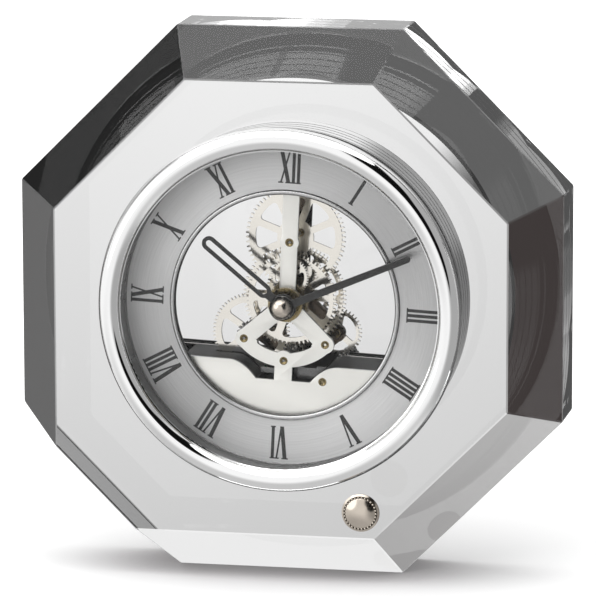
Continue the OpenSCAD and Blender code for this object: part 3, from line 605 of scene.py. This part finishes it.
# Dark metal for the channel under the stud's beads: a painted dark reflection at the stud's rim.
dark_channel_metal = satin_metal("dark_channel_metal", rgb((74, 66, 56)), 0.3, bump=0.1)
slot_of = {s["node"]: s["material_slot"] for s in frame["record"]["subparts"]}
for node, obj in frame["nodes"].items():
    obj.data.materials.clear()
    obj.data.materials.append(MATERIALS[slot_of[node]])


def finished(node):
    """Material and slot of a node, for the piece that stands for it."""
    return {"material": MATERIALS[slot_of[node]], "slot": slot_of[node]}


# Crystal block: flat facets with fine arrises, and a smooth polished bore
def outline(inset, narrow_inset):
    """Corners of the octagon whose sides lie inset from the block's own, anticlockwise, in mm."""
    turn = math.radians(45)
    out = [half_w - (narrow_inset if side == NARROW_SIDE else inset) for side in range(8)]
    corners = []
    for side in range(8):
        near, far = out[side], out[(side + 1) % 8]
        along = (far - near * math.cos(turn)) / math.sin(turn)
        corners.append(Matrix.Rotation(turn * side, 2) @ Vector((near, along)))
    return corners


def add_crystal():
    bm = bmesh.new()
    rings = []
    for height, insets in ((back_h, (0, 0)), (0, (0, 0)), (face_h, (BEVEL_INSET, NARROW_INSET))):
        rings.append([bm.verts.new((*corner, height)) for corner in outline(*insets)])
    bm.faces.new(rings[0][::-1])
    bm.faces.new(rings[2])
    for low, high in zip(rings, rings[1:]):
        for k in range(8):
            m = (k + 1) % 8
            bm.faces.new((low[k], low[m], high[m], high[k]))
    bmesh.ops.bevel(bm, geom=bm.edges[:], offset=ARRIS_W, segments=1, affect="EDGES")

    radius = bore("crystal_block")
    circles = []
    for height in (back_h, face_h):
        ends = [f for f in bm.faces if len(f.verts) == 8]
        end = next(f for f in ends if abs(f.calc_center_median().z - height) < 1e-4)
        rim = end.edges[:]
        bmesh.ops.delete(bm, geom=[end], context="FACES_ONLY")
        angles = [math.tau * k / BORE_STEPS for k in range(BORE_STEPS)]
        circle = [bm.verts.new((radius * math.cos(a), radius * math.sin(a), height)) for a in angles]
        mouth = [bm.edges.new((circle[k - 1], circle[k])) for k in range(BORE_STEPS)]
        bmesh.ops.triangle_fill(bm, edges=rim + mouth, use_beauty=True)
        circles.append(circle)
    low, high = circles
    for k in range(BORE_STEPS):
        m = (k + 1) % BORE_STEPS
        bm.faces.new((low[k], low[m], high[m], high[k])).smooth = True
    bmesh.ops.recalc_face_normals(bm, faces=bm.faces)
    mesh = bpy.data.meshes.new("crystal")
    bm.to_mesh(mesh)
    bm.free()
    mesh.set_sharp_from_angle(angle=math.radians(10))
    mesh.transform(BLOCK)
    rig.replaces(place("crystal", mesh, **finished("crystal_block")), "crystal_block")


# Turned pieces of the insert
def add_bezel():
    outer, crown_h = reach("bezel"), front_height("bezel")
    inner = bore("bezel")
    crown_r = (outer - inner) / 2
    mid = ((outer + inner) / 2, crown_h - crown_r)
    skirt_out = reach("case_ring")
    profile = [(outer, face_h)] + arc(mid, crown_r, 0, 157, 40) + [
        (inner, lens_h + LIP_T), (inner, lens_h), (skirt_out - SKIRT_T, lens_h),
        (skirt_out - SKIRT_T, back_height("bezel")), (skirt_out, back_height("bezel")), (skirt_out, face_h),
    ]
    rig.replaces(revolve("bezel_ring", profile, **finished("bezel")), "bezel")


def add_grip_band():
    """Rubber band that grips the bore: a broad lip and rib in front, narrow ribs behind.

    The solid's ribs are all narrow. The crests reach a little into the glass, to show as touching it.
    """
    inner, low = bore("tension_band"), back_height("tension_band")
    top, root, crest = face_h - 0.2, inner + 0.3, bore("crystal_block") + 0.02
    rib_step, broad_t, narrow_t, bulge = 5, 4.3, 1.2, 0.12
    first = front_height("tension_band")
    ribs = [(top, first - broad_t), (first - rib_step, first - rib_step - broad_t)]
    rib_top = first - 2 * rib_step
    while rib_top - narrow_t > low:
        ribs.append((rib_top, rib_top - narrow_t))
        rib_top -= rib_step
    profile = [(inner, low), (root, low)]
    for high, foot in reversed(ribs):
        profile += [(root, foot), (crest - bulge, foot), (crest, foot + 0.3), (crest, high - 0.3),
                    (crest - bulge, high), (root, high)]
    profile.append((inner, top))
    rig.replaces(revolve("grip_band", profile, **finished("tension_band")), "tension_band")


def add_inner_ring():
    outer, foot = reach("inner_ring"), bore("inner_ring")
    wall, step_h, top, chamfer = foot + 0.6, dial_h + 0.5, front_height("inner_ring"), 0.12
    profile = [(outer, dial_h), (outer, top), (wall, top), (wall, step_h), (foot + chamfer, step_h),
               (foot, step_h - chamfer), (foot, dial_h)]
    satin = turned_metal("wall_silver", rgb(150), 0.28, hub)
    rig.replaces(revolve("inner_wall", profile, satin, slot=slot_of["inner_ring"]), "inner_ring")


def add_dial_rim():
    inner, low = bore("dial_rim"), back_height("dial_rim")
    bead = front_height("dial_rim") - dial_h
    hole = bore("dial")
    # The dark rgb(52) at both feet of the bead is painted shade.
    silver = satin_ring_painted_shade("rim_silver", rgb(196), rgb(52), 0.24, hub, inner + bead, bead)
    profile = [(hole, low), (inner + 0.1, low), (inner, low + 0.1)]
    profile += arc((inner + bead, dial_h), bead, 180, 0) + [(hole, dial_h)]
    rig.replaces(revolve("opening_rim", profile, silver, slot=slot_of["dial_rim"]), "dial_rim")


def dome(radius, rise, foot, edge):
    """Outline of a spherical cap with a short straight edge, closed on the axis."""
    ball = (radius * radius + rise * rise) / (2 * rise)
    spread = math.degrees(math.asin(radius / ball))
    cap = arc((0, foot + edge + rise - ball), ball, 90 - spread, 90)
    return [(0, foot), (radius, foot)] + cap[:-1] + [(0, foot + edge + rise)]


def add_stud_border(centre, ring_r, ring_h):
    """Ring of beads on the stud, in a channel of dark metal that paints the dark reflection at the stud's rim; radius
    and height in mm.
    """
    bm = bmesh.new()
    for i in range(BEADS):
        turn = Matrix.Rotation(math.tau * i / BEADS, 4, "Z")
        spot = turn @ Matrix.Translation((ring_r, 0, ring_h + 0.1 * BEAD_R))
        bmesh.ops.create_icosphere(bm, subdivisions=2, radius=BEAD_R, matrix=spot)
    for face in bm.faces:
        face.smooth = True
    mesh = bpy.data.meshes.new("stud_beads")
    bm.to_mesh(mesh)
    bm.free()
    mesh.transform(centre)
    place("stud_beads", mesh, **finished("medallion"))
    low_h = ring_h - BEAD_R
    channel = [(ring_r - BEAD_R, low_h), (ring_r - BEAD_R, ring_h + 0.42 * BEAD_R),
               (ring_r + BEAD_R, ring_h - 0.12 * BEAD_R), (ring_r + BEAD_R, low_h)]
    revolve("stud_channel", channel, dark_channel_metal, matrix=centre, slot=slot_of["medallion"])


def add_stud():
    """Plain silver stud: shallow dome with a border of beads near its edge."""
    low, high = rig.box("medallion")
    middle = (low + high) / 2
    upright = BLOCK.to_quaternion().to_matrix().to_4x4()
    centre = Matrix.Translation((middle.x, hub.y, middle.z)) @ upright @ Matrix.Scale(MM, 4)
    radius, rise = reach("medallion"), front_height("medallion") - face_h
    cap = rise - STUD_EDGE
    made = revolve("stud", dome(radius, cap, face_h, STUD_EDGE), matrix=centre, **finished("medallion"))
    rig.replaces(made, "medallion")
    ball = (radius ** 2 + cap ** 2) / (2 * cap)
    ring_r = radius - 2.6 * BEAD_R
    ring_h = face_h + rise - ball + math.sqrt(ball ** 2 - ring_r ** 2)
    add_stud_border(centre, ring_r, ring_h)


def add_nut():
    foot, edge = back_height("hand_nut"), 0.5
    nut = dome(reach("hand_nut"), front_height("hand_nut") - foot - edge, foot, edge)
    made = revolve("nut", nut, body=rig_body("hand_nut"), **finished("hand_nut"))
    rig.replaces(made, "hand_nut")


# Numerals
INK_T, INK_STEP, INNER_R, OUTER_R = 0.04, 0.002, 35.8, 45.5
STEM_W, STEM_PITCH, THICK_W, THIN_W, SERIF_W, LETTER_W, LETTER_GAP = 0.92, 1.45, 1.15, 0.5, 0.38, 3.4, 0.25
NUMERALS = ("XII", "I", "II", "III", "IIII", "V", "VI", "VII", "VIII", "IX", "X", "XI")


def stroke(x0, x1, width, height):
    """Slanted bar from (x0, 0) to (x1, height), cut level at both ends."""
    half = width / 2
    return [(x0 - half, 0), (x0 + half, 0), (x1 + half, height), (x1 - half, height)]


def serif(x, width, level, height):
    low = height - SERIF_W if level else 0
    left, right, high = x - width / 2, x + width / 2, low + SERIF_W
    return [(left, low), (right, low), (right, high), (left, high)]


def numeral_bars(text, height):
    """Bars of a numeral, and its width; each bar is four corners."""
    bars, x = [], 0.0
    for letter in text:
        if letter == "I":
            x += STEM_PITCH / 2
            bars.append(stroke(x, x, STEM_W, height))
            bars += [serif(x, STEM_PITCH + 0.05, level, height) for level in (0, 1)]
            x += STEM_PITCH / 2
            continue
        left, right, middle = x + 0.55, x + LETTER_W - 0.35, x + LETTER_W / 2
        bars += [serif(left, 1.9, 1, height), serif(right, 1.5, 1, height)]
        if letter == "V":
            bars += [stroke(middle, left, THICK_W, height), stroke(middle + 0.2, right, THIN_W, height)]
        else:
            bars += [stroke(right - 0.2, left, THICK_W, height), stroke(left, right, THIN_W, height)]
            bars += [serif(right - 0.2, 1.9, 0, height), serif(left, 1.5, 0, height)]
        x += LETTER_W + LETTER_GAP / 2
    return bars, x


def add_numerals():
    material = satin_metal("numeral_ink", rgb(58), 0.4, metallic=0.3, bump=0.02)
    height = OUTER_R - INNER_R
    for hour, text in enumerate(NUMERALS):
        bars, width = numeral_bars(text, height)
        verts, faces = [], []
        for order, bar in enumerate(bars):
            first = len(verts)
            for level in (dial_h - INK_T / 2, dial_h + INK_T + order * INK_STEP):
                verts += [(x - width / 2, y + INNER_R, level) for x, y in bar]
            faces += [(first + 3, first + 2, first + 1, first), (first + 4, first + 5, first + 6, first + 7)]
            for k in range(4):
                m = (k + 1) % 4
                faces.append((first + k, first + m, first + 4 + m, first + 4 + k))
        turn = INSERT @ Matrix.Rotation(math.radians(-30 * hour), 4, "Z")
        made = add_mesh(f"numeral_{hour or 12}", verts, faces, turn, material)
        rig.slot(made, "hand_grey")


add_crystal()
add_bezel()
add_grip_band()
add_inner_ring()
add_dial_rim()
add_stud()
add_nut()
add_numerals()
for node, width in (("minute_hand", 0.1), ("hour_hand", 0.1), ("front_plate", 0.12), ("upper_bridge", 0.12)):
    softened(node, width, **finished(node))

with open("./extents.json", "w") as size_file:
    json.dump({"cad": [list(v) for v in cad_box], "visual": [list(v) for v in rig.bounds()]}, size_file)
